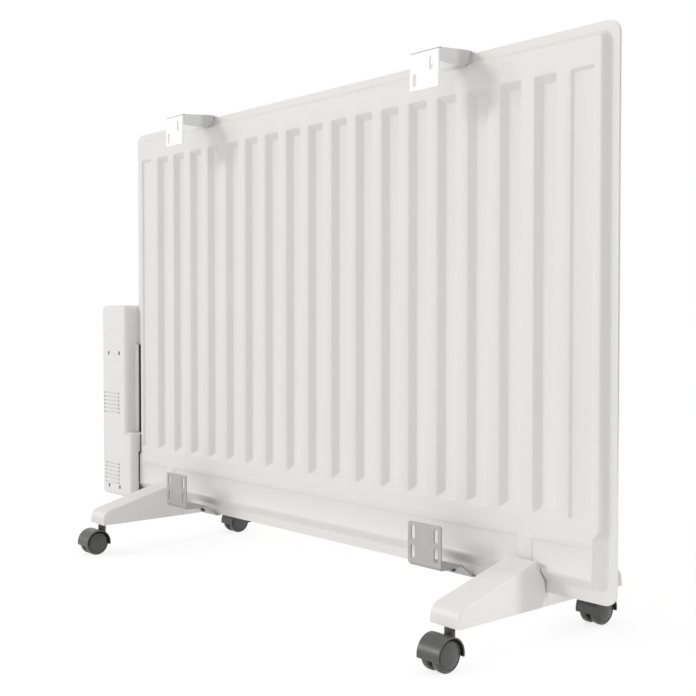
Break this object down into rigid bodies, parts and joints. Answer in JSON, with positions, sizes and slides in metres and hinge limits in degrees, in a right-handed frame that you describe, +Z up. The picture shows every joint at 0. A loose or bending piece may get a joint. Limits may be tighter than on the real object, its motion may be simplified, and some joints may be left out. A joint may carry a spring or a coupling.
{
  "type": "oil-filled radiator",
  "caption": "Upright oil-filled panel radiator with pressed channels, feet on twin-wheel casters, an end control box with knob and rocker switches, and wall brackets.",
  "frame": {"origin": "on the floor, under the middle of the object's box", "axes": "+X along the panel towards the control box, +Y towards the wall side with the brackets, +Z up"},
  "size_m": [1.0702, 0.3153, 0.6893],
  "materials": {
    "panel_enamel": "satin baked enamel",
    "foot_moulding": "satin",
    "shell_moulding": "satin",
    "knob_plastic": "gloss",
    "bracket_enamel": "satin",
    "bracket_zinc": "zinc-plated",
    "caster_plastic": "gloss",
    "rocker_plastic": "gloss",
    "black_moulding": "satin",
    "seal_rubber": "matt",
    "inner_moulding": "satin",
    "steel": "zinc-plated",
    "brass": "turned"
  },
  "bodies": {
    "radiator": {"rear_sheet": "panel_enamel", "front_sheet": "panel_enamel", "heating_element": "steel", "element_plug": "brass", "left_foot_rear_half": "foot_moulding", "left_foot_front_half": "foot_moulding", "left_foot_bolt": "steel", "left_foot_nut": "steel", "left_rear_caster_stem": "steel", "left_front_caster_stem": "steel", "left_top_bracket": "bracket_enamel", "left_bottom_bracket": "bracket_zinc", "left_bottom_bracket_screw": "black_moulding", "right_foot_rear_half": "foot_moulding", "right_foot_front_half": "foot_moulding", "right_foot_bolt": "steel", "right_foot_nut": "steel", "right_rear_caster_stem": "steel", "right_front_caster_stem": "steel", "right_top_bracket": "bracket_enamel", "right_bottom_bracket": "bracket_zinc", "right_bottom_bracket_screw": "black_moulding", "box_rear_shell": "shell_moulding", "box_front_shell": "shell_moulding", "box_screw_1": "steel", "box_screw_2": "steel", "box_screw_3": "steel", "box_screw_4": "steel", "side_lip": "shell_moulding", "upper_seal": "seal_rubber", "middle_seal": "seal_rubber", "lower_seal": "seal_rubber", "chassis_plate": "steel", "thermal_cutout": "black_moulding", "tip_over_switch": "black_moulding", "terminal_block": "inner_moulding", "thermostat": "inner_moulding", "lower_rocker_frame": "black_moulding", "upper_rocker_frame": "black_moulding", "lead_inlet_bush": "seal_rubber"},
    "left_rear_caster": {"left_rear_caster_hood": "caster_plastic", "left_rear_caster_axle": "steel"},
    "left_rear_caster_left_wheel": {"left_rear_caster_left_wheel": "caster_plastic"},
    "left_rear_caster_right_wheel": {"left_rear_caster_right_wheel": "caster_plastic"},
    "left_front_caster": {"left_front_caster_hood": "caster_plastic", "left_front_caster_axle": "steel"},
    "left_front_caster_left_wheel": {"left_front_caster_left_wheel": "caster_plastic"},
    "left_front_caster_right_wheel": {"left_front_caster_right_wheel": "caster_plastic"},
    "right_rear_caster": {"right_rear_caster_hood": "caster_plastic", "right_rear_caster_axle": "steel"},
    "right_rear_caster_left_wheel": {"right_rear_caster_left_wheel": "caster_plastic"},
    "right_rear_caster_right_wheel": {"right_rear_caster_right_wheel": "caster_plastic"},
    "right_front_caster": {"right_front_caster_hood": "caster_plastic", "right_front_caster_axle": "steel"},
    "right_front_caster_left_wheel": {"right_front_caster_left_wheel": "caster_plastic"},
    "right_front_caster_right_wheel": {"right_front_caster_right_wheel": "caster_plastic"},
    "thermostat_knob": {"thermostat_knob": "knob_plastic"},
    "lower_rocker": {"lower_rocker": "rocker_plastic"},
    "upper_rocker": {"upper_rocker": "rocker_plastic"}
  },
  "joints": [
    {"name": "left_rear_caster_swivel", "type": "hinge", "parent": "radiator", "child": "left_rear_caster", "pos_m": [-0.42065, 0.1236, 0.042], "axis": [0, 0, 1], "continuous": true},
    {"name": "left_rear_caster_left_wheel_spin", "type": "hinge", "parent": "left_rear_caster", "child": "left_rear_caster_left_wheel", "pos_m": [-0.42065, 0.1373, 0.0187], "axis": [1, 0, 0], "continuous": true},
    {"name": "left_rear_caster_right_wheel_spin", "type": "hinge", "parent": "left_rear_caster", "child": "left_rear_caster_right_wheel", "pos_m": [-0.42065, 0.1373, 0.0187], "axis": [1, 0, 0], "continuous": true},
    {"name": "left_front_caster_swivel", "type": "hinge", "parent": "radiator", "child": "left_front_caster", "pos_m": [-0.42065, -0.1496, 0.042], "axis": [0, 0, 1], "continuous": true},
    {"name": "left_front_caster_left_wheel_spin", "type": "hinge", "parent": "left_front_caster", "child": "left_front_caster_left_wheel", "pos_m": [-0.42065, -0.1359, 0.0187], "axis": [1, 0, 0], "continuous": true},
    {"name": "left_front_caster_right_wheel_spin", "type": "hinge", "parent": "left_front_caster", "child": "left_front_caster_right_wheel", "pos_m": [-0.42065, -0.1359, 0.0187], "axis": [1, 0, 0], "continuous": true},
    {"name": "right_rear_caster_swivel", "type": "hinge", "parent": "radiator", "child": "right_rear_caster", "pos_m": [0.33535, 0.1236, 0.042], "axis": [0, 0, 1], "continuous": true},
    {"name": "right_rear_caster_left_wheel_spin", "type": "hinge", "parent": "right_rear_caster", "child": "right_rear_caster_left_wheel", "pos_m": [0.33535, 0.1373, 0.0187], "axis": [1, 0, 0], "continuous": true},
    {"name": "right_rear_caster_right_wheel_spin", "type": "hinge", "parent": "right_rear_caster", "child": "right_rear_caster_right_wheel", "pos_m": [0.33535, 0.1373, 0.0187], "axis": [1, 0, 0], "continuous": true},
    {"name": "right_front_caster_swivel", "type": "hinge", "parent": "radiator", "child": "right_front_caster", "pos_m": [0.33535, -0.1496, 0.042], "axis": [0, 0, 1], "continuous": true},
    {"name": "right_front_caster_left_wheel_spin", "type": "hinge", "parent": "right_front_caster", "child": "right_front_caster_left_wheel", "pos_m": [0.33535, -0.1359, 0.0187], "axis": [1, 0, 0], "continuous": true},
    {"name": "right_front_caster_right_wheel_spin", "type": "hinge", "parent": "right_front_caster", "child": "right_front_caster_right_wheel", "pos_m": [0.33535, -0.1359, 0.0187], "axis": [1, 0, 0], "continuous": true},
    {"name": "thermostat_turn", "type": "hinge", "parent": "radiator", "child": "thermostat_knob", "pos_m": [0.49365, -0.046, 0.3445], "axis": [0, 1, 0], "range_deg": [-135, 135]},
    {"name": "lower_rocker_tip", "type": "hinge", "parent": "radiator", "child": "lower_rocker", "pos_m": [0.49365, -0.0448, 0.2585], "axis": [1, 0, 0], "range_deg": [-14, 0]},
    {"name": "upper_rocker_tip", "type": "hinge", "parent": "radiator", "child": "upper_rocker", "pos_m": [0.49365, -0.0448, 0.2925], "axis": [1, 0, 0], "range_deg": [-14, 0]}
  ]
}
